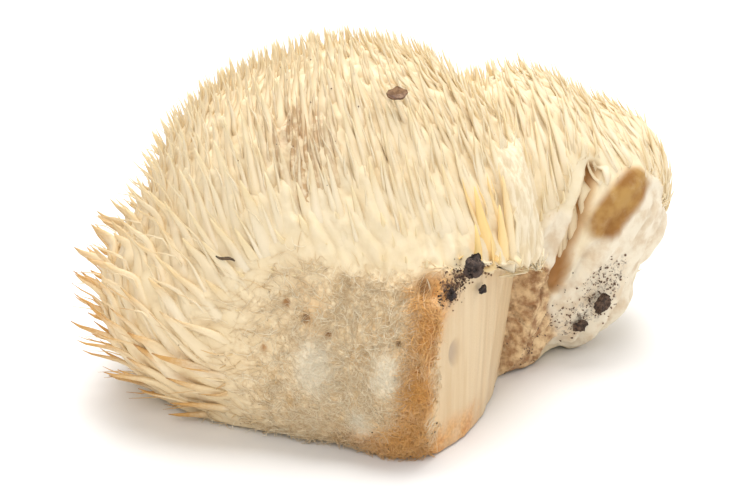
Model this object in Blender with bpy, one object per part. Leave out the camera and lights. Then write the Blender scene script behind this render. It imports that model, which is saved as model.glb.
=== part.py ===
"""A lion's mane mushroom, picked whole and laid on its side, with the bark and soil that came away with it.

Metres, +Z up. The specimen rests on a flat of its own flesh on the plane Z = 0. +X is its right, where the rear
lobe bulges out, and -Y is the side of the pale felted back and the cut stem. The origin is the centre of the
foot of its bounding box. The fruiting body grew as one piece, so it is one solid that reaches the tips of its
spines. Run with: blender --background --python part.py
"""

import math

import bmesh
import bpy
import numpy as np
from mathutils import Euler, Matrix, Vector
from mathutils.bvhtree import BVHTree

MM = 0.001

# All lengths below are millimetres on working axes, which centre_on_foot shifts to the origin at the end.
# The swellings that the flesh and its mane fill: centre, half-axes, and tilt in degrees about X, Y and Z.
SWELLINGS = {
    "crown": ((-7, 8, 50), (63, 56, 73), (0, 0, 0)),
    "upper_left": ((-31, 8, 66), (46, 48, 47), (0, 0, 0)),
    "left_flank": ((-43.5, 1, 38), (52, 48, 42), (0, 0, 0)),
    "belly": ((-30, -6, 22), (61, 37, 36), (0, 0, -22)),
    "front": ((-4, -15, 26), (42, 37, 38), (0, 0, 0)),
    "stem_block": ((18, -20, 26), (30, 42, 44), (0, 0, -24)),
    "right_ridge": ((27, 9, 54), (27, 40, 46), (0, 0, 0)),
    "rear_crown": ((48, 44, 59), (38, 42, 44), (0, 0, 0)),
    "rear_right": ((76, 50, 54), (30, 36, 34), (0, 0, 0)),
    "rear_heel": ((66, 38, 24), (27, 25, 24), (0, -25, 0)),
    "rear_base": ((47, 24, 16), (15, 19, 24), (0, 0, 0)),
}
HEART = (24, 17, 44)  # every point of the skin is in sight from here
MELT = 3.2  # how far one swelling flows into the next
REACH = 150
SKIN_LEVEL = 6  # of the ball that the skin is blown up from
SKIN_SHARE = 0.42  # of its faces that the solid keeps

# Plan of the block that the knife took off the stem. Its first corners are the curved face of the cut.
STEM_CUT = ((8, -78), (18.5, -53), (27, -42.5), (34, -29), (38.5, -15), (41.5, -1), (43, 5), (52, 3), (90, -20), (90, -78))
STEM_CUT_LEAN = (0, 0, 0, 3, 6, 8, 7, 6, 0, 0)  # how much farther along X each corner is at the cut's top than at its foot
STEM_CUT_TOP = (43, -0.42)  # its height at y = 0, and its slope along Y

GAP = 0.5  # between a loose piece and the flesh under it
# The loose pieces: where each lies, its half-sizes (long, wide, thick), and how far it is turned about the
# way out of the skin, in degrees. The chip sits across an edge, so its way out is stated.
CHIP_OUT = (0.62, -0.6, 0.5)
LUMPS = {
    "bark_chip": ((28.6, -40, 60), (4.4, 3.4, 2.6), 30, "bark"),
    "bark_crumb_1": ((22.4, -48, 55.0), (2.3, 1.7, 1.2), 100, "bark"),
    "bark_crumb_2": ((31.9, -33, 50.5), (2.0, 1.5, 1.1), 10, "bark"),
    "soil_clod_1": ((78, 16, 24.5), (4.2, 3.3, 2.2), 60, "soil"),
    "soil_clod_2": ((71, 14.5, 16.5), (2.9, 2.4, 1.7), 20, "soil"),
}
LEAF_AT, LEAF_SIZE, LEAF_TURN = (6.5, -21.6, 110), (3.4, 2.2, 0.35), 5
SPLINTER_AT, SPLINTER_SIZE, SPLINTER_TURN = (-46.2, -41.7, 64), (3.2, 0.6, 0.45), -8


def clear_scene():
    for obj in list(bpy.data.objects):
        bpy.data.objects.remove(obj, do_unlink=True)


def material(name, colour, roughness):
    mat = bpy.data.materials.new(name)
    mat.use_nodes = True
    shader = mat.node_tree.nodes["Principled BSDF"]
    shader.inputs["Base Color"].default_value = (*colour, 1)
    shader.inputs["Roughness"].default_value = roughness
    shader.inputs["Metallic"].default_value = 0.0
    mat.diffuse_color = (*colour, 1)
    return mat


def mesh_object(name, bm, collection, mat=None):
    mesh = bpy.data.meshes.new(name)
    bm.to_mesh(mesh)
    bm.free()
    obj = bpy.data.objects.new(name, mesh)
    collection.objects.link(obj)
    if mat:
        mesh.materials.append(mat)
    return obj


def helper(name, bm, cutters):
    obj = mesh_object(name, bm, cutters)
    obj.hide_render = True
    obj.display_type = "WIRE"
    return obj


def depth(points):
    """How far points lie outside the swellings, in millimetres, with the creases between them melted."""
    total = 0
    for centre, half_axes, tilt in SWELLINGS.values():
        turn = np.array(Euler([math.radians(a) for a in tilt]).to_matrix())
        local = (points - centre) @ turn
        near = np.linalg.norm(local / half_axes, axis=-1) + 1e-9
        steep = np.linalg.norm(local / np.square(half_axes), axis=-1) + 1e-9
        total = total + np.exp(-np.clip(near * (near - 1) / steep, -90, 200) / MELT)
    return -MELT * np.log(total + 1e-300)


def skin_radius(rays):
    """The outermost place along each ray from the heart where it leaves the swellings."""
    steps = np.linspace(0, REACH, 101)
    radius = np.zeros(len(rays))
    for near, far in zip(steps[:-1], steps[1:]):
        a, b = (depth(HEART + rays * t) for t in (near, far))
        leaves = (a <= 0) & (b > 0)
        radius[leaves] = (near + (far - near) * a / (a - b))[leaves]
    return radius


def stem_cutter(cutters):
    """A block with one curved side, whose top slopes down towards the rear lobe."""
    height, slope = STEM_CUT_TOP
    bm = bmesh.new()
    corners = [(x, y, lean) for (x, y), lean in zip(STEM_CUT, STEM_CUT_LEAN)]
    low = [bm.verts.new(Vector((x - 0.3 * lean, y, -20)) * MM) for x, y, lean in corners]
    high = [bm.verts.new(Vector((x + 0.7 * lean, y, height + slope * y)) * MM) for x, y, lean in corners]
    bm.faces.new(low)
    bm.faces.new(high)
    for i in range(len(low)):
        j = (i + 1) % len(low)
        bm.faces.new((low[i], low[j], high[j]))
        bm.faces.new((low[i], high[j], high[i]))
    bmesh.ops.recalc_face_normals(bm, faces=bm.faces)
    return helper("stem_cutter", bm, cutters)


def floor_cutter(cutters):
    """A block under Z = 0 that takes off what the specimen's weight flattens."""
    bm = bmesh.new()
    bmesh.ops.create_cube(bm, size=1, matrix=Matrix.Translation((0, 0, -0.1)) @ Matrix.Diagonal((0.6, 0.6, 0.2, 1)))
    return helper("floor_cutter", bm, cutters)


def fruiting_body(collection, cutters, flesh):
    bm = bmesh.new()
    bmesh.ops.create_icosphere(bm, subdivisions=SKIN_LEVEL, radius=1)
    rays = np.array([v.co.normalized() for v in bm.verts])
    for vert, ray, radius in zip(bm.verts, rays, skin_radius(rays)):
        vert.co = Vector(HEART + ray * radius) * MM
    body = mesh_object("fruiting_body", bm, collection, flesh)
    melt = body.modifiers.new("melt_together", "SMOOTH")
    melt.factor = 0.5
    melt.iterations = 4
    thin = body.modifiers.new("thin_out", "DECIMATE")
    thin.ratio = SKIN_SHARE
    for name, cutter in (("cut_stem", stem_cutter(cutters)), ("rest_flat", floor_cutter(cutters))):
        cut = body.modifiers.new(name, "BOOLEAN")
        cut.operation = "DIFFERENCE"
        cut.object = cutter
    return body


def on_skin(skin, at, turn, out=None):
    """A frame on the skin nearest a place, with Z out of it and X turned from the level."""
    spot, normal, _, _ = skin.find_nearest(Vector(at) * MM)
    if out:
        normal = Vector(out).normalized()
    level = Vector((0, 0, 1)).cross(normal).normalized()
    frame = Matrix((level, normal.cross(level), normal)).transposed().to_4x4()
    return Matrix.Translation(spot) @ frame @ Matrix.Rotation(math.radians(turn), 4, "Z")


def under_skin(skin, point):
    """Whether a ray up from a point leaves the flesh more often than it enters it."""
    hits, spot = 0, skin.ray_cast(point, (0, 0, 1))[0]
    while spot:
        hits += 1
        spot = skin.ray_cast(spot + Vector((0, 0, 1e-6)), (0, 0, 1))[0]
    return hits % 2 == 1


def lift_clear(bm, skin, place):
    """Lifts a piece straight off the skin until every corner has the gap under it."""
    out = place.to_3x3().col[2]
    while any(under_skin(skin, v.co) or skin.find_nearest(v.co)[3] < GAP * MM for v in bm.verts):
        bmesh.ops.translate(bm, verts=bm.verts, vec=out * 0.1 * MM)


def lump(name, skin, at, half_sizes, turn, collection, mat):
    """A crumbly lump: a ball with broken faces, flattened onto the skin."""
    seed = sum(map(ord, name))
    place = on_skin(skin, at, turn, CHIP_OUT if name == "bark_chip" else None)
    bm = bmesh.new()
    bmesh.ops.create_icosphere(bm, subdivisions=2, radius=1)
    for vert in bm.verts:
        x, y, z = vert.co
        bumps = math.sin(5.1 * x + seed) * math.sin(4.3 * y + 2 * seed) + 0.6 * math.sin(7.7 * z + 3 * x + seed)
        local = Vector(a * b for a, b in zip(vert.co * (1 + 0.16 * bumps), half_sizes))
        local.z = max(local.z, -0.55 * half_sizes[2] * (1 + 0.1 * bumps)) + 0.55 * half_sizes[2] + GAP
        vert.co = place @ (local * MM)
    lift_clear(bm, skin, place)
    mesh_object(name, bm, collection, mat)


def leaf_scrap(skin, collection, mat):
    """A torn scrap of leaf, curled across its width."""
    long, wide, thick = LEAF_SIZE
    place = on_skin(skin, LEAF_AT, LEAF_TURN)
    bm = bmesh.new()
    rows = []
    for i in range(9):
        u = i / 4 - 1
        edge = 1 - 0.75 * u * u + 0.12 * math.sin(6 * u)
        row = []
        for side, v in ((1, -1), (1, 0), (1, 1), (-1, 1), (-1, 0), (-1, -1)):
            x, y = long * u, wide * edge * (v - 0.3 * (v < 0) * abs(u))
            lift = 0.08 * x * x + 0.16 * y * y
            row.append(bm.verts.new(place @ (Vector((x, y, lift + side * thick)) * MM)))
        rows.append(row)
    for a, b in zip(rows[:-1], rows[1:]):
        for k in range(6):
            bm.faces.new((a[k], b[k], b[(k + 1) % 6], a[(k + 1) % 6]))
    for row in (rows[0], rows[-1]):
        bm.faces.new((row[0], row[1], row[4], row[5]))
        bm.faces.new((row[1], row[2], row[3], row[4]))
    bmesh.ops.recalc_face_normals(bm, faces=bm.faces)
    lift_clear(bm, skin, place)
    mesh_object("leaf_scrap", bm, collection, mat)


def wood_splinter(skin, collection, mat):
    """A thin splinter, bent a little, that narrows to both ends."""
    long, wide, thick = SPLINTER_SIZE
    place = on_skin(skin, SPLINTER_AT, SPLINTER_TURN)
    bm = bmesh.new()
    rows = []
    for i in range(9):
        u = i / 4 - 1
        girth = 0.35 + 0.65 * math.cos(1.45 * u)
        bend = 0.35 * math.sin(3 * u)
        ring = [
            (long * u, bend + wide * girth * math.cos(k * math.tau / 6), thick * girth * math.sin(k * math.tau / 6))
            for k in range(6)
        ]
        rows.append([bm.verts.new(place @ (Vector(p) * MM)) for p in ring])
    for a, b in zip(rows[:-1], rows[1:]):
        for k in range(6):
            bm.faces.new((a[k], b[k], b[(k + 1) % 6], a[(k + 1) % 6]))
    bm.faces.new(rows[0])
    bm.faces.new(rows[-1])
    bmesh.ops.recalc_face_normals(bm, faces=bm.faces)
    lift_clear(bm, skin, place)
    mesh_object("wood_splinter", bm, collection, mat)


def centre_on_foot(parts, cutters):
    """Shifts everything so that the origin is the centre of the foot of the bounding box."""
    graph = bpy.context.evaluated_depsgraph_get()
    corners = []
    for obj in parts.objects:
        mesh = obj.evaluated_get(graph).to_mesh()
        corners += [tuple(v.co) for v in mesh.vertices]
    corners = np.array(corners)
    middle = (corners.min(axis=0) + corners.max(axis=0)) / 2
    print("shift to the origin, mm:", [round(float(-1000 * c), 3) for c in middle[:2]])
    for obj in (*parts.objects, *cutters.objects):
        obj.location = (-middle[0], -middle[1], 0)


def main():
    clear_scene()
    parts = bpy.data.collections.new("lions_mane_mushroom")
    cutters = bpy.data.collections.new("cutters")
    for collection in (parts, cutters):
        bpy.context.scene.collection.children.link(collection)
    flesh = material("flesh", (0.88, 0.76, 0.55), 0.7)
    crumbs = {"bark": material("bark", (0.05, 0.035, 0.03), 0.9), "soil": material("soil", (0.1, 0.065, 0.045), 0.95)}
    body = fruiting_body(parts, cutters, flesh)
    bpy.context.view_layer.update()
    skin = BVHTree.FromObject(body, bpy.context.evaluated_depsgraph_get())
    for name, (at, half_sizes, turn, made_of) in LUMPS.items():
        lump(name, skin, at, half_sizes, turn, parts, crumbs[made_of])
    leaf_scrap(skin, parts, material("dead_leaf", (0.16, 0.05, 0.025), 0.6))
    wood_splinter(skin, parts, material("wood", (0.12, 0.07, 0.03), 0.8))
    bpy.context.view_layer.update()
    centre_on_foot(parts, cutters)


main()
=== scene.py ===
"""The looks of the lion's mane mushroom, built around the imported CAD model.

The CAD body is the envelope that the spines' tips reach. Here it is replaced by the flesh,
pulled in under the mane, by several thousand curved spines whose tips lie on that envelope,
and by the felt and threads of the uncovered back. Lengths are millimetres in the row frame
until a mesh is made, except for lights and the camera, which are placed in metres.
"""

import itertools
import math

import bmesh
import bpy
import numpy as np
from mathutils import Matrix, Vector
from mathutils.bvhtree import BVHTree


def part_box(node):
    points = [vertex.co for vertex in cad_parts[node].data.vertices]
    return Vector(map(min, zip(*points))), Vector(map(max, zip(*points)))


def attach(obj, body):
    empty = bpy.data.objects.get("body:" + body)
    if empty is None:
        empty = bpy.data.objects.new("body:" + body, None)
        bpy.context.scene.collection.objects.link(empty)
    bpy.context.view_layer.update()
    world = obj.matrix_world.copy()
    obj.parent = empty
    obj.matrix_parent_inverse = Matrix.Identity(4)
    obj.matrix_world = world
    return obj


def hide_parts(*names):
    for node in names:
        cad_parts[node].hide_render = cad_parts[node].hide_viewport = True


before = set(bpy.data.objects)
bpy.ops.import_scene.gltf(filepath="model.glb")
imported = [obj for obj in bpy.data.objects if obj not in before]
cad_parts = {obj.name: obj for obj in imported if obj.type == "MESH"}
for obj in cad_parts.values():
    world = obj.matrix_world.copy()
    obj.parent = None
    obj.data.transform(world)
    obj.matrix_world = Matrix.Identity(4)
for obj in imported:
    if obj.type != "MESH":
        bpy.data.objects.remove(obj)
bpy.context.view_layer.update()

MM = 0.001
HEART = np.array((18.7, 4.2, 44.0))  # all of the skin is in sight from here

# ---------------------------------------------------------------- places on the skin
# The uncovered back: its middle and half-sizes along X and Z, and how square it is.
FELT_AT, FELT_HALF, FELT_SQUARE = (-8, 20), (38, 42), 2.8
# The lowest spines' roots lie round it, in a wider and rounder outline.
ROOTS_WIDER, ROOTS_SQUARE = 30, 2.4
# Cotton: place, radius and height. Pits: place and radius.
COTTON = (((-25, -64, 31), 9.5, 2.6), ((-2, -72, 32), 7.5, 2.6), ((-10, -67, 13), 6, 1.2))
PITS = (
    ((-27, -61, 46), 1.7),
    ((-20, -63, 42), 1.3),
    ((-33, -60, 51), 1.6),
    ((-8, -66, 48), 1.2),
    ((-14, -64, 53), 1.6),
    ((3, -66, 55), 1.8),
    ((11, -62, 58), 3.6),
    ((-40, -60, 36), 1.5),
    ((-36, -62, 24), 1.4),
    ((2, -70, 42), 1.1),
    ((-48, -57, 44), 1.4),
    ((-5, -66, 58), 1.5),
)
CUT_PLAN = ((3, -91), (13, -66), (22, -55), (30, -42), (36, -28), (40, -14))
CUT_TOP = (37.6, -0.42)  # the cut's height at y = 0, and its slope along Y
GREY_PIT, GREY_PIT_SIZE = (20, -57, 33), 2.6
BARK_BED = (19, -58, 56)  # the soiled place under the bark chip
BARE_BED = (13, -61, 56)  # the bare place beside it
RIDGE = (
    (51, -17, 46),
    (50, -19, 60),
    (47, -22, 70),
    (44, -18, 84),
    (41, -8, 93),
    (30, -8, 105),
    (18, -11, 112),
)
CLEFT = ((70, 3, 74), (65, -4, 59), (60, -4, 45), (57, -2, 32))
AMBER = ((85, 7, 66), (79, 3, 61), (74, 0, 55))
TORN = ((91, 10, 56), (83, 5, 47), (75, 3, 36), (67, 0, 24), (60, -1, 12))
TORN_FOLDS = (0.56, 0.20, 0.80)  # the way that the torn flesh's folds run
TORN_LEFT = ((57, -7, 53), (56, -5, 36))
TORN_RIGHT = ((95, 22, 42), (86, 16, 22), (72, 10, 6))
SOIL = ((79, 5, 33), (72, 2, 23), (64, 0, 13))
POROUS = ((44, -9, 34), (44, -9, 22), (48, -6, 8))
STAIN = ((14, -63, 56), (13, -66, 48), (11, -70, 38), (9, -72, 26), (6, -70, 8))
TAN, TAN_SIZE = (-30, -38, 106), 15
# Zones round a line: the line, and how far from it the zone ends and is full.
ROUND_LINES = {
    "cleft": (CLEFT, 3.4, 1.2),
    "amber": (AMBER, 9.0, 5.0),
    "soil": (SOIL, 8, 3),
    "porous": (POROUS, 15, 11),
    "stain": (STAIN, 10, 2.5),
}
BARE_ZONES = ("felt", "cut", "strip", "torn", "porous", "ground", "amber", "bed")
PAINTED_ZONES = ("felt", "cut", "strip", "torn", "porous", "amber", "cleft", "tan")
FOOT = (8, -50, 5)  # the spines grow away from here
REAR_BACK, REAR_RISE = 0.25, 1  # how they grow back and up on the rear lobe
HOOK_WAY = (-0.95, -0.15, -0.25)  # the way that tips on the left hook over

# ---------------------------------------------------------------- depths and heights
FLESH_UNDER_TIPS = 0.5  # where nothing grows
CLEFT_DEPTH, GREY_DEPTH, PIT_DEPTH = 4.0, 1.6, 1.5  # a pit's is for each mm of radius
LOWEST_FLESH, LOWEST_SPINE, LOWEST_THREAD, LOWEST_GRAIN = 0.25, 1.0, 0.2, 0.05

# ---------------------------------------------------------------- colours
IVORY = (0.83, 0.725, 0.525)
CREAM = (0.80, 0.68, 0.46)
# Painted shade: the warm colour given to grooves and to deep places among the spines.
GROOVE_SHADE = (0.74, 0.58, 0.35)
PEACH = (0.87, 0.63, 0.31)
GOLD = (0.79, 0.60, 0.26)
AMBER_TIP = (0.62, 0.34, 0.10)
BROWN_TIP = (0.34, 0.15, 0.05)
PALE_SPINE = (0.90, 0.82, 0.68)
TAN_SPINE = (0.50, 0.31, 0.15)
GOLD_SPINE = (0.90, 0.62, 0.22)
TAN_FLESH = (0.58, 0.37, 0.20)
WOOL = ((0.68, 0.49, 0.27), (0.90, 0.76, 0.52))  # pairs are dark and light
WOOL_OCHRE = (0.70, 0.49, 0.23)
WOOL_PEACH = (0.84, 0.58, 0.30)
COTTON_WHITE = (0.88, 0.77, 0.58)
STRIP = ((0.66, 0.52, 0.32), (0.84, 0.74, 0.56))
CUT = ((0.65, 0.47, 0.265), (0.74, 0.57, 0.35))
CUT_PEACH = (0.74, 0.48, 0.25)
TORN_WHITE = ((0.68, 0.54, 0.37), (0.83, 0.74, 0.58))
DIRTY = ((0.34, 0.17, 0.07), (0.78, 0.56, 0.31))
RUST = ((0.56, 0.24, 0.06), (0.76, 0.41, 0.14))
HONEY = ((0.31, 0.135, 0.025), (0.46, 0.26, 0.07))
# Painted shade: colours for the band along the cleft and for the inside of the cleft.
CREASE_SHADE = (0.62, 0.40, 0.17)
CLEFT_SHADE = (0.40, 0.19, 0.055)
SOIL_SMEAR = (0.13, 0.075, 0.045)
PIT_BROWN = (0.50, 0.28, 0.12)
GREY_BROWN = (0.50, 0.38, 0.27)
THREAD = ((0.72, 0.52, 0.28), (0.93, 0.82, 0.61))
THREAD_PALE = (0.91, 0.82, 0.64)
THREAD_RUST = (0.78, 0.41, 0.11)
BARK = ((0.012, 0.008, 0.007), (0.09, 0.055, 0.04))
BARK_DUST = ((0.03, 0.017, 0.011), (0.24, 0.13, 0.07))
EARTH = ((0.03, 0.018, 0.012), (0.14, 0.085, 0.055))
EARTH_DUST = ((0.08, 0.045, 0.028), (0.26, 0.16, 0.10))
LEAF = ((0.09, 0.035, 0.015), (0.36, 0.20, 0.09))
WOOD = ((0.04, 0.025, 0.012), (0.16, 0.10, 0.05))
FLOOR_WHITE = (0.86, 0.85, 0.84)
SKY_WHITE = (1.0, 0.99, 0.975)


# ---------------------------------------------------------------- numbers
PRIMES = (73856093, 19349663, 83492791)
SEED_PRIME, MIX_PRIME = 7919, 1274126177
LOW_31_BITS, LOW_16_BITS = 0x7FFFFFFF, 0xFFFF


def smooth(a, b, x):
    """0 at a, 1 at b, and smooth between them, either way round."""
    t = np.clip((x - a) / (b - a), 0, 1)
    return t * t * (3 - 2 * t)


def unit(v):
    return v / np.maximum(np.linalg.norm(v, axis=-1, keepdims=True), 1e-9)


def dots(a, b):
    return np.sum(a * b, axis=-1)


def bell(x):
    """1 at 0, falling away on both sides."""
    return np.exp(-np.square(x))


def lattice_noise(p, seed):
    """Smooth noise from -1 to 1, with one cell to a unit."""
    cell = np.floor(p).astype(np.int64)
    f = p - cell
    f = f * f * (3 - 2 * f)
    total = np.zeros(p.shape[:-1])
    for dx, dy, dz in itertools.product((0, 1), repeat=3):
        h = (cell[..., 0] + dx) * PRIMES[0]
        h = h ^ (cell[..., 1] + dy) * PRIMES[1]
        h = h ^ (cell[..., 2] + dz) * PRIMES[2]
        h = (h ^ seed * SEED_PRIME) & LOW_31_BITS
        h = (h ^ (h >> 13)) * MIX_PRIME & LOW_31_BITS
        value = ((h ^ (h >> 16)) & LOW_16_BITS) / (LOW_16_BITS / 2) - 1
        wx, wy, wz = (
            f[..., k] if d else 1 - f[..., k] for k, d in enumerate((dx, dy, dz))
        )
        total += value * wx * wy * wz
    return total


def noise(p, size, seed, octaves=3):
    total, weight = 0, 0
    for k in range(octaves):
        total = total + lattice_noise(p * (2**k / size), seed + 31 * k) / 2**k
        weight += 1 / 2**k
    return total / weight


def to_line(p, line):
    """Distance from points to a broken line."""
    line = np.array(line, float)
    best = np.full(p.shape[:-1], 1e9)
    for a, b in zip(line[:-1], line[1:]):
        t = np.clip(dots(p - a, b - a) / dots(b - a, b - a), 0, 1)
        best = np.minimum(best, np.linalg.norm(p - a - t[..., None] * (b - a), axis=-1))
    return best


# ---------------------------------------------------------------- the skin of the CAD body
LAT, LON = 361, 720  # rows and columns of the skin's map


def measure_skin(node):
    """How far the CAD body reaches from its heart all round, a little softened."""
    mesh = node.data
    corners = [v.co.copy() for v in mesh.vertices]
    tree = BVHTree.FromPolygons(corners, [tuple(f.vertices) for f in mesh.polygons])
    origin = Vector(HEART * MM)
    reach = np.zeros((LAT, LON))
    for i, lat in enumerate(np.linspace(0, math.pi, LAT)):
        for j, lon in enumerate(np.linspace(-math.pi, math.pi, LON, endpoint=False)):
            across = math.sin(lat)
            ray = Vector((across * math.cos(lon), across * math.sin(lon), -math.cos(lat)))
            reach[i, j] = tree.ray_cast(origin, ray)[3] / MM
    for _ in range(2):
        reach = (np.roll(reach, 1, 1) + 2 * reach + np.roll(reach, -1, 1)) / 4
        reach[1:-1] = (reach[:-2] + 2 * reach[1:-1] + reach[2:]) / 4
    return reach


def past_ridge(p):
    """How far points are past the edge of the main lobe, towards the rear one."""
    x, y, z = np.array(RIDGE, float).T
    past_x = p[..., 0] - np.interp(p[..., 2], z, x)
    past_y = p[..., 1] - np.interp(p[..., 2], z, y)
    return (past_x + 0.55 * past_y) / 1.14


def with_lobes(reach):
    """The main lobe stands over the rear one along an edge, and the skin drops behind it."""
    lat = np.linspace(0, math.pi, LAT)[:, None]
    lon = np.linspace(-math.pi, math.pi, LON, endpoint=False)[None]
    x, y, z = np.sin(lat) * np.cos(lon), np.sin(lat) * np.sin(lon), -np.cos(lat)
    p = HEART + np.stack([x, y, z + 0 * lon], -1) * reach[..., None]
    past = past_ridge(p)
    share = smooth(40, 56, p[..., 2]) * smooth(116, 98, p[..., 2]) * smooth(24, 6, p[..., 1])
    edge, drop = 1.8 * bell((past + 3.5) / 3.5), 8.0 * smooth(-0.5, 3.0, past)
    return reach + share * (edge - drop * smooth(24, 5, past))


REACH = with_lobes(measure_skin(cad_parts["fruiting_body"]))


def skin_reach(rays):
    lat = np.arccos(np.clip(-rays[..., 2], -1, 1)) / math.pi * (LAT - 1)
    lon = (np.arctan2(rays[..., 1], rays[..., 0]) + math.pi) / (2 * math.pi) * LON
    i = np.clip(lat.astype(int), 0, LAT - 2)
    j = lon.astype(int)
    u, v = lat - i, lon - j
    a, b = REACH[i, j % LON], REACH[i, (j + 1) % LON]
    c, d = REACH[i + 1, j % LON], REACH[i + 1, (j + 1) % LON]
    return (a * (1 - v) + b * v) * (1 - u) + (c * (1 - v) + d * v) * u


def on_skin(rays):
    return HEART + rays * skin_reach(rays)[..., None]


def skin_normal(rays, step=0.03):
    pole = np.where(np.abs(rays[..., 2:]) > 0.9, (1.0, 0, 0), (0, 0, 1.0))
    side = unit(np.cross(rays, pole))
    up = np.cross(side, rays)
    a = on_skin(unit(rays + side * step)) - on_skin(unit(rays - side * step))
    b = on_skin(unit(rays + up * step)) - on_skin(unit(rays - up * step))
    n = unit(np.cross(a, b))
    return n * np.where(dots(n, rays) < 0, -1, 1)[..., None]


# ---------------------------------------------------------------- zones
def felt_ring(p, wider, power):
    """1 on a rounded outline round the uncovered back, and less inside it."""
    x = (p[..., 0] - FELT_AT[0]) / (FELT_HALF[0] + wider)
    up = (p[..., 2] - FELT_AT[1]) / (FELT_HALF[1] + wider)
    return (np.abs(x) ** power + np.abs(up) ** power) ** (1 / power)


def zones(p):
    """How much of each zone is at points on the skin, from 0 to 1."""
    z = {}
    front = smooth(-26, -40, p[..., 1])
    wobble = 1 + 0.10 * noise(p, 11, 3) + 0.05 * noise(p, 4, 4)
    ring = felt_ring(p, 0, FELT_SQUARE)
    # Its left side passes into the mane over a long way, its other sides over a short one.
    soft = 0.28 * smooth(-12, -42, p[..., 0])
    ragged = wobble + 0.09 * noise(p, 6, 9, 2)
    z["felt"] = smooth(1.08 + soft, 0.92 - soft, ring * ragged) * front
    z["margin"] = smooth(1.42, 1.05, ring * ragged) * front
    from_cut = to_line(p * (1, 1, 0), [(a, b, 0) for a, b in CUT_PLAN])
    below = CUT_TOP[0] + CUT_TOP[1] * p[..., 1] - p[..., 2]
    past_felt, near_felt = p[..., 0] + 2 * noise(p, 5, 8), smooth(26, 16, p[..., 0])
    z["cut"] = smooth(5.0, 3.6, from_cut) * smooth(-1.0, 1.5, below)
    z["cut"] = z["cut"] * smooth(13.5, 16.5, past_felt)
    z["cut_edge"] = smooth(9, 1.5, from_cut) * smooth(-3, 1.5, below) * near_felt
    past = past_ridge(p)
    high = smooth(49, 56, p[..., 2]) * smooth(96, 86, p[..., 2]) * smooth(14, 4, p[..., 1])
    inner = smooth(-16, -11, past * wobble + 6 * smooth(78, 96, p[..., 2]))
    z["strip"] = inner * smooth(3, 1, past) * high
    for name, (line, ends, full) in ROUND_LINES.items():
        z[name] = smooth(ends, full, to_line(p, line) * wobble)
    left, right = to_line(p, TORN_LEFT) * wobble + 4, to_line(p, TORN_RIGHT) * wobble
    nearest = np.minimum(to_line(p, TORN) * wobble, np.minimum(left, right))
    z["torn"] = smooth(14, 10, nearest)
    z["tan"] = smooth(TAN_SIZE, 3, np.linalg.norm(p - TAN, axis=-1) * wobble)
    z["ground"] = smooth(5, 1.5, p[..., 2])
    z["bed"] = smooth(9, 6, np.linalg.norm(p - BARE_BED, axis=-1) * wobble)
    z["coat"] = 1 - np.maximum.reduce([z[k] for k in BARE_ZONES])
    seam = smooth(9.5, 6.5, to_line(p, CLEFT) * wobble) * smooth(82, 74, p[..., 2])
    z["mane"] = z["coat"] * (1 - seam)
    return z


def growth(p):
    """The way the spines grow: away from the foot, and straighter up the farther from it."""
    v = p - np.array(FOOT)
    wanted = -0.75 * np.maximum(0, v[..., 2] - 48)
    h = np.clip(0.5 + 0.5 * (wanted - v[..., 0]) / 14, 0, 1)
    x = wanted + (v[..., 0] - wanted) * h - 14 * h * (1 - h)
    far = smooth(65, 120, np.hypot(1.1 * x, v[..., 2]))
    main = unit(np.stack([x, 0.5 * v[..., 1], v[..., 2]], -1))
    main[..., 2] += 0.95 * far
    lean = -0.27 - 0.32 * smooth(60, 90, p[..., 0])
    rear = unit(np.stack([lean, REAR_BACK + 0 * lean, REAR_RISE + 0 * lean], -1))
    rear_share = smooth(-1, 5, past_ridge(p))[..., None]
    return unit(unit(main) * (1 - rear_share) + rear * rear_share)


def leftness(p):
    return smooth(-30, -85, p[..., 0]) * smooth(112, 60, p[..., 2])


def inset(p, n, z):
    """How far the flesh lies under the tips."""
    outward = np.clip(dots(growth(p), n), 0, 1)
    high = 1.2 * smooth(60, 95, p[..., 2])
    deep = 1.5 + high + 3.4 * outward**2 + 2.0 * outward * leftness(p)
    return FLESH_UNDER_TIPS + deep * z["coat"] * (1 - 0.6 * z["margin"])


def streaks(p, size, seed, run, steps, flow=None):
    """Noise drawn out along the way the spines grow, or along one direction."""
    flow = growth(p) if flow is None else flow
    places = np.linspace(-run, run, steps)
    total = sum(lattice_noise((p + flow * t) / size, seed) for t in places)
    return total / math.sqrt(steps)


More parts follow.
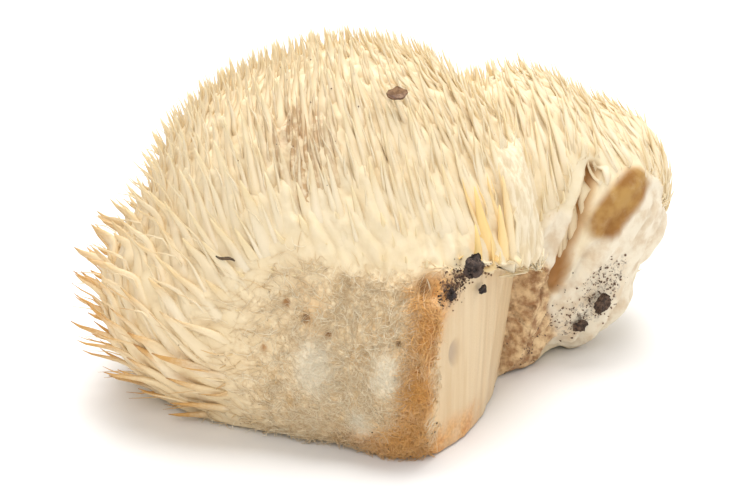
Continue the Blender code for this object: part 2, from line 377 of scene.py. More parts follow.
def flesh_surface(rays):
    """Points of the flesh along rays from the heart, and what its material needs there."""
    skin, normal = on_skin(rays), skin_normal(rays)
    z = zones(skin)
    uncut = 1 - z["cut"]
    shift = -inset(skin, normal, z)
    matted = np.clip(z["felt"] + 0.04 * z["mane"] + 0.08 * z["strip"], 0, 1) * uncut
    lumps = 1.1 * noise(skin, 13, 11) + 0.6 * noise(skin, 4.5, 12)
    shift += matted * (lumps + 0.45 * noise(skin, 1.8, 13, 2))
    wide = np.abs(streaks(skin, 4.0, 61, 26, 19))
    fine = np.abs(streaks(skin, 1.8, 62, 12, 15))
    blades = z["mane"] + 1.2 * z["strip"] + 0.3 * z["felt"] + 0.3 * z["torn"]
    blades = np.clip(blades, 0, 1) * uncut
    shift += blades * (1.3 * wide + 0.5 * fine - 0.8)
    cotton = np.zeros(len(skin))
    for at, size, height in COTTON:
        away = np.linalg.norm((skin - at) * (1.25, 1, 0.8), axis=1) / size
        puff = np.exp(-np.square(away) * 1.6)
        shift += height * puff * (1 + 0.3 * noise(skin, 2.5, 17))
        cotton = np.maximum(cotton, puff)
    pit = np.zeros(len(skin))
    for at, size in PITS:
        hole = bell(np.linalg.norm((skin - at) * (1, 1, 0.8), axis=1) / size)
        shift -= PIT_DEPTH * size * hole
        pit = np.maximum(pit, hole)
    away = np.linalg.norm((skin - GREY_PIT) * (1, 1, 0.6), axis=1) / GREY_PIT_SIZE
    grey = np.exp(-np.square(away) ** 2)
    shift -= GREY_DEPTH * grey
    shift += 0.25 * z["cut"] * noise(skin * (1, 1, 0.05), 3, 21, 2)
    folds = np.abs(streaks(skin, 5.0, 23, 18, 13, np.array(TORN_FOLDS)))
    shift += z["torn"] * uncut * (3.0 * folds + 0.35 * noise(skin, 3, 24) - 1.5)
    holes = 1.6 * smooth(0.2, 0.5, noise(skin, 2.4, 26))
    shift += z["porous"] * uncut * (0.9 * noise(skin, 3.5, 25) - holes)
    shift -= CLEFT_DEPTH * z["cleft"]
    points = skin + normal * shift[:, None]
    points[:, 2] = np.maximum(points[:, 2], LOWEST_FLESH)

    facts = {k: z[k] for k in PAINTED_ZONES}
    foot = smooth(14, 4, skin[:, 2]) * z["felt"] * smooth(-25, 0, skin[:, 0])
    facts["stain"] = np.clip(z["stain"] + foot, 0, 1)
    facts["cotton"] = smooth(0.08, 0.7, cotton)
    facts["pit"] = smooth(0.35, 0.8, pit)
    facts["grey"] = grey
    chip = np.linalg.norm(skin - BARK_BED, axis=1) * (1 + 0.3 * noise(skin, 2.5, 33))
    facts["soil"] = np.maximum(z["soil"], smooth(8.0, 4.0, chip))
    # Painted shade: the low lines between the streaks, and the creases of the torn flesh, are
    # given the groove shade colour.
    shaded = 0.3 * (1 - z["margin"]) + 0.6 * smooth(0.45, 0.05, wide + 0.4 * fine)
    creased = 0.8 * z["torn"] * smooth(0.3, 0.03, folds)
    facts["groove_shade"] = np.maximum(blades * shaded, creased)
    # Painted shade: a brown band along the cleft. The cleft zone makes it darker still inside the
    # cleft.
    facts["crease"] = smooth(4.6, 1.8, to_line(skin, CLEFT)) * smooth(82, 72, skin[:, 2])
    # Painted shade: low on the left, the flesh is made warmer and darker. The peach of the left
    # side itself is the flesh's own tint.
    low = 0.6 * smooth(60, 20, skin[:, 2])
    warm = leftness(skin) * (0.5 + low) + 0.25 * noise(skin, 22, 51) + 0.12
    facts["warm"] = np.clip(warm + 0.3 * z["margin"], 0, 1)
    return points, normal, z, facts


# ---------------------------------------------------------------- meshes
def mesh_object(name, points, faces, mat, replaces=(), attributes=None, smooth_faces=True):
    """A piece from points in millimetres. faces is an array, or a list of arrays."""
    mesh = bpy.data.meshes.new(name)
    groups = faces if isinstance(faces, list) else [faces]
    loops = np.concatenate([g.ravel() for g in groups])
    sizes = np.concatenate([np.full(len(g), g.shape[1]) for g in groups])
    starts = np.concatenate([[0], np.cumsum(sizes)[:-1]])
    mesh.vertices.add(len(points))
    places = (np.asarray(points) * MM).astype(np.float32)
    mesh.vertices.foreach_set("co", places.ravel())
    mesh.loops.add(len(loops))
    mesh.loops.foreach_set("vertex_index", loops.astype(np.int32))
    mesh.polygons.add(len(sizes))
    mesh.polygons.foreach_set("loop_start", starts.astype(np.int32))
    mesh.polygons.foreach_set("use_smooth", np.full(len(sizes), smooth_faces))
    mesh.update(calc_edges=True)
    for key, values in (attributes or {}).items():
        data = mesh.attributes.new(key, "FLOAT", "POINT").data
        data.foreach_set("value", np.asarray(values, np.float32))
    mesh.materials.append(mat)
    obj = bpy.data.objects.new(name, mesh)
    bpy.context.scene.collection.objects.link(obj)
    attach(obj, "root")
    if replaces:
        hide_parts(*replaces)
    return obj


def set_uv(obj, uv):
    layer = obj.data.uv_layers.new(name="OFBake")
    layer.data.foreach_set("uv", np.asarray(uv, np.float32).ravel())


CELL_MARGIN, CELL_FILL = 0.06, 0.88  # of each tube's cell of the map


def tubes(name, points, mat, facts, at):
    """One mesh of closed tubes, each with its own cell of the map."""
    count, rings, sides = points.shape[:3]
    base = (np.arange(count) * rings * sides)[:, None, None]
    ring = np.arange(rings - 1)[None, :, None] * sides
    k = np.arange(sides)[None, None]
    a, b = base + ring + k, base + ring + (k + 1) % sides
    quads = np.stack([a, b, b + sides, a + sides], -1).reshape(-1, 4)
    caps = base[:, :, 0] + (rings - 1) * sides + np.arange(sides)[None]
    attributes = {"along": np.broadcast_to(at[None, :, None], (count, rings, sides)).ravel()}
    for key, values in facts.items():
        whole = values.ndim == 3
        attributes[key] = values.ravel() if whole else np.repeat(values, rings * sides)
    faces = [quads, caps.reshape(count, sides)]
    obj = mesh_object(name, points.reshape(-1, 3), faces, mat, attributes=attributes)
    cells = math.ceil(math.sqrt(count))
    corner = np.stack([np.arange(count) % cells, np.arange(count) // cells], -1)
    corner = corner[:, None, None, None] / cells
    u, v = np.meshgrid(np.arange(sides), np.arange(rings - 1))
    inner = [np.stack(c, -1) for c in ((u, v), (u + 1, v), (u + 1, v + 1), (u, v + 1))]
    inner = CELL_MARGIN + CELL_FILL * np.stack(inner, -2) / (sides, rings - 1)
    wall = (corner + inner[None] / cells).reshape(-1, 2)
    tip = np.array((0.5, CELL_MARGIN + CELL_FILL)) / cells
    top = np.broadcast_to(corner[:, 0, 0] + tip, (count, sides, 2)).reshape(-1, 2)
    set_uv(obj, np.concatenate([wall, top]))


def cross_sections(path, out, radius, angle, flat=1.0):
    """Rings of points around middle lines."""
    tangent = unit(np.gradient(path, axis=1))
    side = unit(np.cross(tangent, np.broadcast_to(out[:, None], path.shape)))
    out = np.cross(side, tangent)
    return (
        path[:, :, None]
        + side[:, :, None] * (radius * np.cos(angle))[..., None]
        + out[:, :, None] * (radius * np.sin(angle) * flat)[..., None]
    )


def turn_angles(sides):
    return np.arange(sides) / sides * 2 * math.pi


# ---------------------------------------------------------------- shaders
class Tree:
    """A short way to write a material's nodes."""

    def __init__(self, name):
        self.mat = bpy.data.materials.new(name)
        self.mat.use_nodes = True
        self.tree = self.mat.node_tree
        self.shader = self.tree.nodes["Principled BSDF"]
        self.place = self.add("TexCoord").outputs["Object"]

    def add(self, kind, **settings):
        node = self.tree.nodes.new("ShaderNode" + kind)
        for key, value in settings.items():
            setattr(node, key, value)
        return node

    def put(self, socket, value):
        if isinstance(value, bpy.types.NodeSocket):
            self.tree.links.new(value, socket)
        elif isinstance(value, tuple) and len(value) == 3 and socket.type == "RGBA":
            socket.default_value = (*value, 1)
        else:
            socket.default_value = value

    def attribute(self, name, share=1.0):
        out = self.add("Attribute", attribute_name=name).outputs["Fac"]
        return out if share == 1.0 else self.math("MULTIPLY", out, share)

    def math(self, operation, a, b=0.0, clamp=False):
        node = self.add("Math", operation=operation, use_clamp=clamp)
        self.put(node.inputs[0], a)
        self.put(node.inputs[1], b)
        return node.outputs[0]

    def times(self, a, b):
        return self.math("MULTIPLY", a, b)

    def both(self, a, b):
        return self.math("MULTIPLY", a, b, clamp=True)

    def noise(self, scale, detail=3.0, rough=0.55, stretch=None):
        vector = self.place
        if stretch:
            mapping = self.add("Mapping")
            self.put(mapping.inputs["Vector"], vector)
            mapping.inputs["Scale"].default_value = stretch
            vector = mapping.outputs[0]
        node = self.add("TexNoise")
        self.put(node.inputs["Vector"], vector)
        for key, value in (("Scale", scale), ("Detail", detail), ("Roughness", rough)):
            node.inputs[key].default_value = value
        return node.outputs["Fac"]

    def remap(self, value, low, high, to_low=0.0, to_high=1.0):
        node = self.add("MapRange", interpolation_type="SMOOTHSTEP")
        ends = {"From Min": low, "From Max": high, "To Min": to_low, "To Max": to_high}
        for key, item in ({"Value": value} | ends).items():
            self.put(node.inputs[key], item)
        return node.outputs[0]

    def mix(self, share, a, b):
        node = self.add("Mix", data_type="RGBA")
        self.put(node.inputs[0], share)
        self.put(node.inputs[6], a)
        self.put(node.inputs[7], b)
        return node.outputs[2]

    def mottle(self, value, low, high, colours):
        """The dark colour of a pair where a value is low, and the light one where it is high."""
        return self.mix(self.remap(value, low, high), *colours)

    def bump(self, height, distance, strength):
        node = self.add("Bump")
        self.put(node.inputs["Height"], height)
        node.inputs["Distance"].default_value = distance
        node.inputs["Strength"].default_value = strength
        self.put(self.shader.inputs["Normal"], node.outputs[0])

    def set(self, **values):
        for key, value in values.items():
            self.put(self.shader.inputs[key.replace("_", " ")], value)


def spine_material():
    t = Tree("spine_flesh")
    along, warm, seed = t.attribute("along"), t.attribute("warm"), t.attribute("seed")
    streak = t.noise(900, 2.0, 0.6)
    body = t.mottle(along, 0.05, 0.55, (CREAM, IVORY))
    body = t.mix(t.times(warm, 0.55), body, PEACH)
    body = t.mix(t.both(t.remap(seed, 0.5, 1.0), 0.35), body, PALE_SPINE)
    ochre = t.mottle(warm, 0.0, 0.8, (GOLD, AMBER_TIP))
    reach = t.math("ADD", along, t.times(t.math("SUBTRACT", streak, 0.5), 0.16))
    varied = t.math("ADD", reach, t.times(t.math("SUBTRACT", seed, 0.5), 0.2))
    tip = t.both(t.remap(varied, 0.66, 1.02), t.math("ADD", 0.4, t.times(warm, 0.75)))
    colour = t.mix(tip, body, ochre)
    end = t.both(t.remap(reach, 0.93, 1.02), t.remap(warm, 0.4, 0.9, 0.0, 0.7))
    colour = t.mix(end, colour, BROWN_TIP)
    # Painted shade: parts of the spines deep in the mane take the groove shade colour.
    colour = t.mix(t.attribute("deep", 0.7), colour, GROOVE_SHADE)
    tan = t.both(t.attribute("tan"), t.remap(t.noise(420, 3.0), 0.3, 0.6))
    colour = t.mix(t.times(tan, 0.9), colour, TAN_SPINE)
    gold = t.both(t.attribute("gold", 0.85), t.remap(along, 0.15, 0.8))
    colour = t.mix(gold, colour, GOLD_SPINE)
    t.set(Base_Color=colour, Roughness=0.40, Specular_IOR_Level=0.38)
    t.bump(t.noise(1500, 2.0, 0.6, stretch=(1, 1, 0.35)), 0.0002, 0.4)
    return t.mat


def flesh_material():
    t = Tree("flesh")
    coarse, fine = t.noise(160, 4.0, 0.6), t.noise(900, 3.0, 0.65)
    lines = t.noise(700, 3.0, 0.6, stretch=(1, 1, 0.12))
    grain = t.noise(260, 4.0, 0.6, stretch=(1, 1, 0.06))

    woolly = t.mottle(fine, 0.3, 0.7, WOOL)
    woolly = t.mix(t.both(t.remap(coarse, 0.48, 0.7), 0.6), woolly, WOOL_OCHRE)
    blotches = t.remap(t.noise(48, 2.0, 0.5), 0.46, 0.66)
    woolly = t.mix(t.both(blotches, 0.7), woolly, WOOL_PEACH)
    cut = t.mottle(grain, 0.3, 0.72, CUT)
    cut = t.mix(t.both(t.remap(t.noise(60, 3.0), 0.5, 0.7), 0.5), cut, CUT_PEACH)
    torn = t.mottle(t.noise(150, 4.0, 0.6), 0.3, 0.6, TORN_WHITE)
    dirty = t.mottle(t.noise(260, 5.0, 0.65), 0.34, 0.66, DIRTY)
    rusty = t.mottle(fine, 0.35, 0.65, RUST)
    honey = t.mottle(t.noise(130, 3.0, 0.5), 0.35, 0.7, HONEY)

    tan = t.both(t.attribute("tan"), t.remap(t.noise(420, 3.0), 0.38, 0.62))
    cotton = t.both(t.attribute("cotton"), t.remap(fine, 0.25, 0.6, 0.45, 1.0))
    patchy = t.remap(t.noise(130, 4.0, 0.65), 0.34, 0.58, 0.4, 1.0)
    amber = t.both(t.attribute("amber"), t.remap(coarse, 0.1, 0.45, 0.7, 1.0))
    smear = t.remap(t.noise(600, 3.0, 0.7), 0.47, 0.66)

    colour = t.mottle(coarse, 0.35, 0.65, (CREAM, IVORY))
    for share, layer in (
        (t.both(t.attribute("warm"), 0.5), PEACH),
        # Painted shade in the low lines and creases.
        (t.attribute("groove_shade", 0.75), GROOVE_SHADE),
        (t.both(tan, 0.8), TAN_FLESH),
        (t.attribute("felt"), woolly),
        (cotton, COTTON_WHITE),
        (t.attribute("strip", 0.75), t.mottle(lines, 0.35, 0.65, STRIP)),
        (t.attribute("torn"), torn),
        (t.attribute("porous"), dirty),
        (t.attribute("cut"), cut),
        (t.both(t.attribute("stain"), patchy), rusty),
        (amber, honey),
        # Painted shade along the cleft and inside it.
        (t.attribute("crease", 0.55), CREASE_SHADE),
        (t.attribute("cleft"), CLEFT_SHADE),
        (t.both(t.attribute("soil", 0.75), smear), SOIL_SMEAR),
        (t.attribute("pit"), PIT_BROWN),
        (t.attribute("grey", 0.8), GREY_BROWN),
    ):
        colour = t.mix(share, colour, layer)
    rough = t.remap(t.attribute("cut"), 0.0, 1.0, 0.58, 0.38)
    t.set(Base_Color=colour, Roughness=rough, Specular_IOR_Level=0.35)
    t.bump(t.noise(1300, 3.0, 0.7), 0.0003, 0.5)
    return t.mat


def thread_material():
    t = Tree("felt_threads")
    colour = t.mix(t.attribute("seed"), *THREAD)
    colour = t.mix(t.attribute("pale"), colour, THREAD_PALE)
    colour = t.mix(t.attribute("stain"), colour, THREAD_RUST)
    t.set(Base_Color=colour, Roughness=0.55, Specular_IOR_Level=0.3)
    return t.mat


def crumb_material(name, colours, scale, rough=0.8):
    t = Tree(name)
    t.set(Base_Color=t.mottle(t.noise(scale, 4.0, 0.7), 0.35, 0.65, colours), Roughness=rough)
    t.bump(t.noise(scale * 1.7, 3.0, 0.7), 0.0004, 0.8)
    return t.mat


# ---------------------------------------------------------------- the flesh
SIDE_CELLS = 127
FOCUS, SQUEEZE = (-0.15, -1, -0.1), 0.55  # the mesh is finer on the side in view
SHEET_MARGIN, SHEET_FILL = 0.015, 0.97


def focused_ball():
    """A ball's directions, its faces and a map of it: six grids, finer around a focus."""
    t = np.tan(np.linspace(-math.pi / 4, math.pi / 4, SIDE_CELLS + 1))
    a, b = np.meshgrid(t, t)
    one = np.ones_like(a)
    grids = [(one, a, b), (-one, -a, b), (-a, one, b)]
    grids += [(a, -one, b), (-b, a, one), (b, a, -one)]
    rays = unit(np.stack([np.stack(g, -1) for g in grids]).reshape(-1, 3))
    _, first, index = np.unique(
        np.round(rays, 6), axis=0, return_index=True, return_inverse=True
    )
    cell = np.arange((SIDE_CELLS + 1) ** 2).reshape(SIDE_CELLS + 1, -1)
    one_side = np.stack([cell[:-1, :-1], cell[:-1, 1:], cell[1:, 1:], cell[1:, :-1]], -1)
    one_side = one_side.reshape(-1, 4)
    corners = np.concatenate([one_side + k * cell.size for k in range(len(grids))])
    v, u = np.divmod(corners % cell.size, SIDE_CELLS + 1)
    sheet = corners // cell.size
    on_sheet = np.stack([u, v], -1) / SIDE_CELLS * SHEET_FILL + SHEET_MARGIN
    uv = (on_sheet + np.stack([sheet % 3, sheet // 3], -1)) / (3, 2)
    rays = rays[first]
    focus = unit(np.array(FOCUS, float))
    cosine = np.clip(rays @ focus, -1, 1)
    angle = 2 * np.arctan(SQUEEZE * np.tan(np.arccos(cosine) / 2))
    away = unit(rays - cosine[:, None] * focus)
    rays = unit(np.cos(angle)[:, None] * focus + np.sin(angle)[:, None] * away)
    return rays, index.reshape(-1)[corners], uv


def build_flesh(mat):
    rays, faces, uv = focused_ball()
    points, _, _, facts = flesh_surface(rays)
    obj = mesh_object("fungus_flesh", points, faces, mat, ("fruiting_body",), facts)
    set_uv(obj, uv)


# ---------------------------------------------------------------- the mane
def scatter(count, seed, spacing):
    """Rays to places of the mane that keep apart, further along the spines than across them."""
    local = np.random.default_rng(seed)
    tries = unit(local.normal(size=(count, 3)))
    # Places are drawn evenly over the skin, not over the ball of rays.
    facing = np.clip(dots(skin_normal(tries), tries), 0.25, 1)
    spread = skin_reach(tries) ** 2 / facing
    tries = tries[local.random(count) < spread / np.quantile(spread, 0.98)]
    p = on_skin(tries)
    keep = (zones(p)["mane"] > 0.45 + 0.3 * local.random(len(p))) & (p[:, 2] > 5)
    tries, p = tries[keep], p[keep]
    flow = growth(p)
    along, across = spacing(p)
    widest = along.max()
    grid, kept = {}, []
    for k in range(len(p)):
        x, y, z = (p[k] // widest).astype(int).tolist()
        near = [
            j
            for dx, dy, dz in itertools.product((-1, 0, 1), repeat=3)
            for j in grid.get((x + dx, y + dy, z + dz), ())
        ]
        if near:
            gap = p[near] - p[k]
            run = gap @ flow[k]
            off = np.sqrt(np.maximum(np.sum(gap * gap, axis=1) - run * run, 0))
            if np.any((run / along[k]) ** 2 + (off / across[k]) ** 2 < 1):
                continue
        grid.setdefault((x, y, z), []).append(k)
        kept.append(k)
    return tries[kept]


def root_nearness(p):
    """1 at the line the lowest spines rise from, and 0 well above it."""
    ring = felt_ring(p, ROOTS_WIDER, ROOTS_SQUARE)
    return smooth(1.15, 0.75, ring) * smooth(-25, -45, p[..., 1])


def spine_paths(rays, rings, length, girth, local):
    """The middle lines of spines from root to tip."""
    count = len(rays)
    walk = on_skin(rays)
    path = np.zeros((count, rings, 3))
    path[:, -1] = walk
    flows = growth(walk)
    outward = np.clip(dots(flows, skin_normal(rays)), 0, 1)
    slope = outward * 0.8 + local.uniform(0.10, 0.24, count)
    steps = length / (rings - 1)
    for k in range(rings - 2, -1, -1):
        walk = walk - flows * steps[:, None]
        ray = unit(walk - HEART)
        skin, n = on_skin(ray), skin_normal(ray)
        z = zones(skin)
        hold = inset(skin, n, z) + 0.25 * girth
        gone = length * (1 - k / (rings - 1))
        under = hold * (1 - np.exp(-slope * gone / hold))
        bare = np.maximum(smooth(0.75, 0.15, z["mane"]), smooth(0.3, 0.9, z["margin"]))
        root = smooth(0.55, 1.0, gone / length)
        under += (girth + 0.8) * root + (2.0 + 0.6 * girth) * bare
        under += 2.0 * z["margin"] * smooth(0.2, 0.8, gone / length)
        # The way to the skin is taken along its normal, so that oblique places don't bend it.
        off = dots(skin - walk, ray) * np.clip(dots(ray, n), 0.2, 1) - under
        walk = walk + n * off[:, None]
        path[:, k] = walk
        flows = unit(0.6 * flows + 0.4 * growth(skin))
    return path


def curl_tips(path, at, rays, local, amount):
    """Tips lean together in tufts, curl aside, and hook over on the left."""
    tip, normal = path[:, -1].copy(), skin_normal(rays)
    across = unit(np.cross(growth(tip), normal))
    left = leftness(tip)
    tuft = noise(tip, 15, 91, 2) * 2.6 + local.normal(0, 0.8, len(tip))
    lift = np.clip(local.normal(0.3, 0.8, len(tip)), -1.2, 2.0)
    bend = (smooth(0.3, 1.0, at) ** 1.6)[None, :, None]
    move = across * (tuft * (0.8 + 0.5 * left))[:, None] + normal * lift[:, None]
    path += bend * move[:, None] * amount
    hook = left * local.uniform(0.5, 8.5, len(tip)) * amount
    late = (smooth(0.55, 1.0, at) ** 2)[None, :, None]
    path += late * (np.array(HOOK_WAY) * hook[:, None])[:, None]
    path[..., 2] = np.maximum(path[..., 2], LOWEST_SPINE)
    return path, normal


def spine_facts(path, local):
    tip = path[:, -1]
    # Painted shade: low on the left, the spines are made warmer and darker. The peach and amber
    # of the left side itself is the spines' own tint.
    low = 0.8 * smooth(60, 20, tip[:, 2])
    warm = leftness(tip) * (0.38 + low) + 0.25 * noise(tip, 22, 51) + 0.10
    right = smooth(12, 22, tip[:, 0]) * smooth(40, 31, tip[:, 0])
    return {
        "warm": np.clip(warm, 0, 1),
        "gold": right * smooth(96, 82, tip[:, 2]) * smooth(-28, -40, tip[:, 1]),
        "tan": zones(tip)["tan"],
        "seed": local.random(len(tip)),
    }


def build_spines(
    name, mat, seed, tries, sides, rings, spacing, size, flat, pieces, amount=1.0, cone=0.9
):
    """One sort of spine over the mane, in one or more pieces.

    spacing and size are functions of the tips' places: how far apart the spines keep, and
    their lengths and girths. flat is a section's height over its width, amount is how much
    the tips curl, and cone is how soon they grow thin.
    """
    at = np.linspace(0, 1, rings)
    local = np.random.default_rng(seed)
    rays = scatter(tries, seed + 1, spacing)
    tip = on_skin(rays)
    length, girth = size(tip, local)
    path = spine_paths(rays, rings, length, girth, local)
    path, normal = curl_tips(path, at, rays, local, amount)
    taper = (0.3 + 0.8 * smooth(0, 0.42, at)) * (0.96 * (1 - at) ** cone + 0.04)
    angle = turn_angles(sides)
    turn = local.uniform(0, 2 * math.pi, len(rays))
    twist = local.normal(0, 0.8, len(rays))
    turned = 2 * angle[None, None] + turn[:, None, None]
    ridges = 1 + 0.14 * np.cos(turned + twist[:, None, None] * at[None, :, None])
    ridges += 0.12 * np.cos(3 * angle[None, None] + 2 * turn[:, None, None])
    swell = 1 + 0.08 * np.sin(at[None] * 9 + turn[:, None]) * (1 - at[None])
    radius = (girth[:, None] * taper[None] * swell)[..., None] * ridges
    points = cross_sections(path, normal, radius, angle, flat)
    facts = spine_facts(path, local)
    # Painted shade: the deeper a part of a spine lies under the skin, the more of the groove
    # shade colour it takes.
    out = points - HEART
    depth = skin_reach(unit(out)) - np.linalg.norm(out, axis=-1)
    facing = np.clip(dots(unit(tip - HEART), normal), 0.3, 1)
    facts["deep"] = smooth(0.6, 5.5, depth * facing[:, None, None])
    order = np.argsort(tip[:, 0])
    for number, chosen in enumerate(np.array_split(order, pieces)):
        own = {k: v[chosen] for k, v in facts.items()}
        tubes(f"{name}_{number + 1}", points[chosen], mat, own, at)
    return path, normal, radius.max(-1) * flat


class Whereabouts:
    """Where on the mane points are, each from 0 to 1."""

    def __init__(self, p):
        self.near = root_nearness(p)
        self.top = smooth(80, 108, p[:, 2])
        self.right = smooth(45, 75, p[:, 0])
        self.left = leftness(p)
        self.behind = smooth(0, 40, p[:, 1])


def blade_spacing(p):
    w = Whereabouts(p)
    across = 5.0 + 1.0 * w.near + 0.6 * w.right + 1.0 * w.left + 0.6 * w.behind
    return 18 + 8 * w.near + 2 * w.right - 5 * w.left, across


def blade_size(p, local):
    w = Whereabouts(p)
    length = local.uniform(42, 64, len(p))
    length = length * (1 - 0.25 * w.top) * (1 - 0.25 * w.right) * (1 - 0.35 * w.left)
    girth = local.uniform(2.8, 4.8, len(p))
    return length, girth * (1 + 0.3 * w.near) * (1 - 0.2 * w.top) * (1 - 0.15 * w.right)


def spine_spacing(p):
    w = Whereabouts(p)
    sparse = np.clip(w.near + 0.9 * w.left, 0, 1.2)
    return 15 + 19 * sparse - 1.5 * w.top, 4.6 + 3.6 * sparse - 0.5 * w.top


def spine_size(p, local):
    w = Whereabouts(p)
    length = local.uniform(28, 42, len(p)) * (1 - 0.3 * w.top) * (1 - 0.3 * w.right)
    girth = local.uniform(1.3, 2.1, len(p)) * (1 - 0.15 * w.top) * (1 - 0.25 * w.right)
    return length, girth


def fine_spacing(p):
    w = Whereabouts(p)
    sparse = np.clip(1.6 * w.near + w.left + 0.5 * w.behind, 0, 1.6)
    return 9.5 + 14 * sparse - 2.5 * w.right, 3.2 + 3.5 * sparse - 0.8 * w.right


def fine_size(p, local):
    return local.uniform(11, 18, len(p)), local.uniform(0.45, 0.85, len(p))


def build_mane(mat):
    """Wide blades of spines that stuck together, single spines, and thin short ones."""
    build_spines(
        "mane_blades",
        mat,
        seed=77,
        tries=60000,
        sides=8,
        rings=14,
        spacing=blade_spacing,
        size=blade_size,
        flat=0.55,
        pieces=2,
        cone=0.8,
    )
    found = build_spines(
        "mane_spines",
        mat,
        seed=87,
        tries=70000,
        sides=7,
        rings=12,
        spacing=spine_spacing,
        size=spine_size,
        flat=0.7,
        pieces=3,
    )
    build_spines(
        "mane_fine",
        mat,
        seed=97,
        tries=40000,
        sides=4,
        rings=6,
        spacing=fine_spacing,
        size=fine_size,
        flat=1.0,
        pieces=1,
        amount=1.15,
    )
    return found


# ---------------------------------------------------------------- threads
THREADS, THREAD_RINGS, THREAD_SIDES = 5200, 6, 3


def build_threads(mat):
    """The matted threads of the uncovered back, and loose ones at the cut's edge and the foot."""
    local = np.random.default_rng(31)
    tries = unit(np.array((-0.2, -1, -0.35)) + local.normal(0, 0.75, size=(60000, 3)))
    skin = on_skin(tries)
    z = zones(skin)
    uncut = 1 - z["cut"]
    edge = 0.9 * z["cut_edge"] * uncut * (skin[:, 2] > 4)
    low = smooth(9, 4, skin[:, 2]) * smooth(-30, -45, skin[:, 1]) * uncut
    want = np.maximum(np.maximum(z["felt"] * uncut, edge), 0.8 * low)
    want = np.clip(want * (1 + 0.7 * z["stain"]) / 1.7, 0, 1) * (skin[:, 2] > 0.8)
    rays = tries[local.random(len(tries)) < want][:THREADS]
    count = len(rays)
    length = local.uniform(2.5, 7.0, count)
    start, n, zs, facts = flesh_surface(rays)
    wild = 0.25 + facts["stain"] * 0.7 + smooth(9, 4, start[:, 2]) * 0.8
    wild = np.clip(wild, 0, 1) * local.random(count)
    first = unit(np.cross(n, local.normal(size=(count, 3))))
    second = np.cross(n, first)
    heading = local.uniform(0, 2 * math.pi, count)
    turn = local.normal(0, 0.55, count)
    path = np.zeros((count, THREAD_RINGS, 3))
    walk = start
    step = (length / (THREAD_RINGS - 1))[:, None]
    for k in range(THREAD_RINGS):
        s = k / (THREAD_RINGS - 1)
        ground = flesh_surface(unit(walk - HEART))[0]
        arch = local.uniform(0.1, 0.5, count) * math.sin(math.pi * min(1, s * 1.1))
        height = 0.05 + arch + wild * 2.6 * s**1.5
        path[:, k] = ground + n * height[:, None]
        heading = heading + turn + local.normal(0, 0.45, count)
        onward = np.cos(heading)[:, None] * first + np.sin(heading)[:, None] * second
        walk = ground + onward * step
    path[..., 2] = np.maximum(path[..., 2], LOWEST_THREAD)
    at = np.linspace(0, 1, THREAD_RINGS)
    girth = local.uniform(0.07, 0.17, count) * (1 - 0.3 * facts["cotton"])
    radius = (girth[:, None] * (1 - 0.55 * at[None] ** 2))[..., None]
    radius = np.repeat(radius, THREAD_SIDES, -1)
    points = cross_sections(path, n, radius, turn_angles(THREAD_SIDES))
    pale = np.clip(facts["cotton"] + zs["torn"] + 0.8 * zs["strip"], 0, 1)
    stained = np.maximum(facts["stain"], 0.6 * zs["porous"])
    stained = stained * np.clip(0.75 + 0.5 * noise(start, 9, 55), 0, 1)
    own = {"seed": local.random(count), "stain": stained, "pale": pale * (1 - zs["porous"])}
    tubes("felt_threads", points, mat, own, at)


# ---------------------------------------------------------------- loose pieces
# Node, slot, relief in mm, the relief's grain in mm, cuts of each edge, and seed.
LOOSE = (
    ("bark_chip", "bark", 1.3, 2.2, 4, 3),
    ("bark_crumb_1", "bark", 0.8, 1.3, 3, 4),
    ("bark_crumb_2", "bark", 0.6, 1.1, 3, 5),
    ("soil_clod_1", "soil", 1.0, 1.6, 3, 6),
    ("soil_clod_2", "soil", 0.8, 1.3, 3, 7),
    ("leaf_scrap", "dead_leaf", 0.25, 1.6, 3, 8),
    ("wood_splinter", "wood", 0.15, 0.8, 2, 9),
)


def points_and_faces(bm):
    """A bmesh's corners, their normals and its faces, and the end of it."""
    bm.normal_update()
    points = np.array([v.co[:] for v in bm.verts])
    normals = np.array([v.normal[:] for v in bm.verts])
    faces = np.array([[v.index for v in f.verts] for f in bm.faces])
    bm.free()
    return points, normals, faces


def weathered(node, mat, rough, grain, cuts, seed):
    """A rough stand-in for a CAD piece, in its place and within its size."""
    bm = bmesh.new()
    bm.from_mesh(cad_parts[node].data)
    bmesh.ops.triangulate(bm, faces=bm.faces[:])
    for _ in range(cuts):
        bmesh.ops.subdivide_edges(bm, edges=bm.edges[:], cuts=1, use_grid_fill=True)
    p, n, faces = points_and_faces(bm)
    p = p / MM
    depth = rough * (noise(p, grain, seed, 3) - 0.35)
    mesh_object(f"{node}_rough", p + n * depth[:, None], faces, mat, (node,))


def grains(name, places, size, mat, seed):
    """Small angular grains at places, each with its own shape."""
    local = np.random.default_rng(seed)
    bm = bmesh.new()
    bmesh.ops.create_icosphere(bm, subdivisions=1, radius=1)
    ball, _, faces = points_and_faces(bm)
    count = len(places)
    turns = np.linalg.qr(local.normal(size=(count, 3, 3)))[0]
    scale = size[:, None] * local.uniform(0.45, 1.3, size=(count, 3))
    bumps = 1 + local.normal(0, 0.16, size=(count, len(ball), 1))
    shapes = ball[None] * bumps * scale[:, None]
    points = np.einsum("kij,kvj->kvi", turns, shapes) + places[:, None]
    points[..., 2] = np.maximum(points[..., 2], LOWEST_GRAIN)
    index = faces[None] + (np.arange(count) * len(ball))[:, None, None]
    index = index.reshape(-1, 3)
    mesh_object(name, points.reshape(-1, 3), index, mat, smooth_faces=False)


def near_places(middle, spread, count, local, stretch=(1, 1, 1)):
    """Places on the flesh around a middle."""
    off = local.normal(size=(count, 3)) * spread * np.array(stretch)
    points, n, _, _ = flesh_surface(unit(np.array(middle, float) + off - HEART))
    return points + n * 0.12


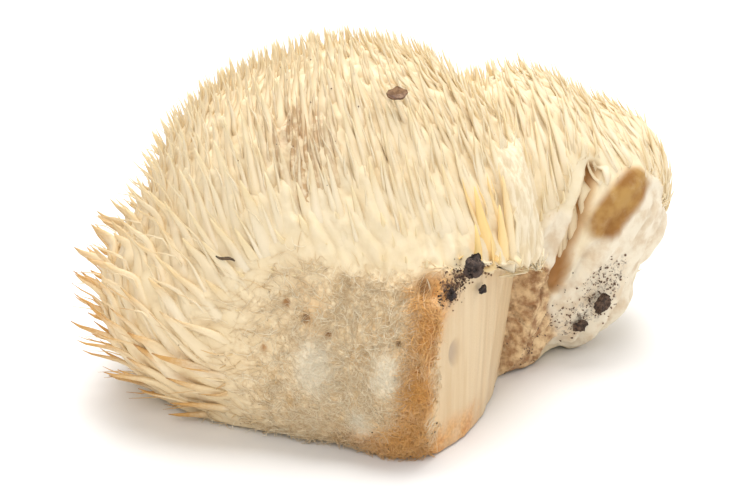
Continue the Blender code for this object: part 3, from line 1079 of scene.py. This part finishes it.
def build_debris(spine_path, spine_normal, spine_girth):
    mats = {
        "bark": crumb_material("bark_dark", BARK, 420),
        "soil": crumb_material("soil_dark", EARTH, 700, 0.9),
        "dead_leaf": crumb_material("leaf_brown", LEAF, 210, 0.55),
        "wood": crumb_material("wood_dark", WOOD, 900, 0.7),
    }
    for node, slot, rough, grain, cuts, seed in LOOSE:
        weathered(node, mats[slot], rough, grain, cuts, seed)

    local = np.random.default_rng(63)
    names = ("bark_chip", "bark_crumb_1", "bark_crumb_2")
    chip, crumb_1, crumb_2 = ((np.array(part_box(name)) / MM).mean(axis=0) for name in names)
    dark = [
        near_places(crumb_1, 2.0, 190, local),
        near_places((chip + crumb_1) / 2, 2.2, 190, local),
        near_places((chip + crumb_2) / 2 + (3, 4, 0), 2.4, 90, local, (1.4, 1.4, 0.5)),
    ]
    dark = np.concatenate(dark)
    dust = crumb_material("bark_dust", BARK_DUST, 500)
    grains("bark_dust", dark, local.uniform(0.1, 0.6, len(dark)) ** 1.3, dust, 71)

    high, _, low = np.array(SOIL, float)
    shares = np.linspace(-0.1, 1, 34)
    soil = [near_places(high * (1 - t) + low * t, 2.4, 9, local) for t in shares]
    soil.append(near_places(POROUS[-1], 5.0, 60, local, (1.6, 1, 0.8)))
    soil.append(near_places(STAIN[-1], 5.5, 40, local, (1.3, 1, 0.5)))
    soil = np.concatenate(soil)
    # Specks that the photograph shows all over the mane lie on the spines.
    tip = spine_path[:, -1]
    tan = bell(np.linalg.norm(tip - TAN, axis=1) / TAN_SIZE)
    share = 0.03 + 1.0 * tan + 0.08 * leftness(tip)
    chosen = np.nonzero(local.random(len(tip)) < share * (tip[:, 1] < 20))[0]
    ring = local.integers(6, 10, len(chosen))
    above = spine_normal[chosen] * spine_girth[chosen, ring][:, None]
    specks = spine_path[chosen, ring] + above
    dusty = crumb_material("soil_dust", EARTH_DUST, 700, 0.9)
    grains("soil_grains", soil, local.uniform(0.1, 0.45, len(soil)), dusty, 72)
    grains("soil_specks", specks, local.uniform(0.08, 0.3, len(specks)), dusty, 73)


# ---------------------------------------------------------------- the stage
FLOOR_SIZE = 6
SKY_STRENGTH = 0.50
# Name, place, size and watts. All point at LIT.
LIGHTS = (
    ("key", (0.05, 0.2, 1.3), 0.8, 15.0),
    ("fill", (-0.2, -1.1, 1.1), 0.9, 8.0),
    ("right", (1.0, 0.1, 0.7), 0.8, 3.0),
    ("back", (-0.2, 1.0, 0.9), 0.8, 5.0),
)
LIT = Vector((0, 0, 0.05))
LOOKED_AT = Vector((-0.00527, -0.01282, 0.050))
CAMERA_DISTANCE, CAMERA_RISE = 0.590, math.radians(22)
CAMERA_LENS, CAMERA_SENSOR = 85, 36


def build_stage():
    bpy.ops.mesh.primitive_plane_add(size=FLOOR_SIZE, location=(0, 0, 0))
    floor = bpy.context.object
    floor.name = "floor"
    t = Tree("floor_white")
    t.set(Base_Color=FLOOR_WHITE, Roughness=0.9, Specular_IOR_Level=0.1)
    floor.data.materials.append(t.mat)
    world = bpy.data.worlds.new("studio")
    bpy.context.scene.world = world
    world.use_nodes = True
    sky = world.node_tree.nodes["Background"]
    sky.inputs["Color"].default_value = (*SKY_WHITE, 1)
    sky.inputs["Strength"].default_value = SKY_STRENGTH
    for name, at, size, power in LIGHTS:
        light = bpy.data.lights.new(name, "AREA")
        light.shape, light.size, light.energy = "SQUARE", size, power
        obj = bpy.data.objects.new(name, light)
        obj.location = at
        obj.rotation_euler = (LIT - Vector(at)).to_track_quat("-Z", "Y").to_euler()
        bpy.context.scene.collection.objects.link(obj)


def build_camera():
    """Looks along +Y, down from CAMERA_RISE above the level."""
    camera = bpy.data.cameras.new("camera")
    camera.lens, camera.sensor_width, camera.clip_start = CAMERA_LENS, CAMERA_SENSOR, 0.01
    obj = bpy.data.objects.new("camera", camera)
    way_back = Vector((0, -math.cos(CAMERA_RISE), math.sin(CAMERA_RISE)))
    obj.location = LOOKED_AT + way_back * CAMERA_DISTANCE
    obj.rotation_euler = (math.pi / 2 - CAMERA_RISE, 0, 0)
    bpy.context.scene.collection.objects.link(obj)
    bpy.context.scene.camera = obj
    bpy.context.scene.view_settings.view_transform = "Standard"


build_stage()
build_camera()
spine_mat = spine_material()
build_flesh(flesh_material())
single_spines = build_mane(spine_mat)
build_threads(thread_material())
build_debris(*single_spines)

bpy.context.view_layer.update()
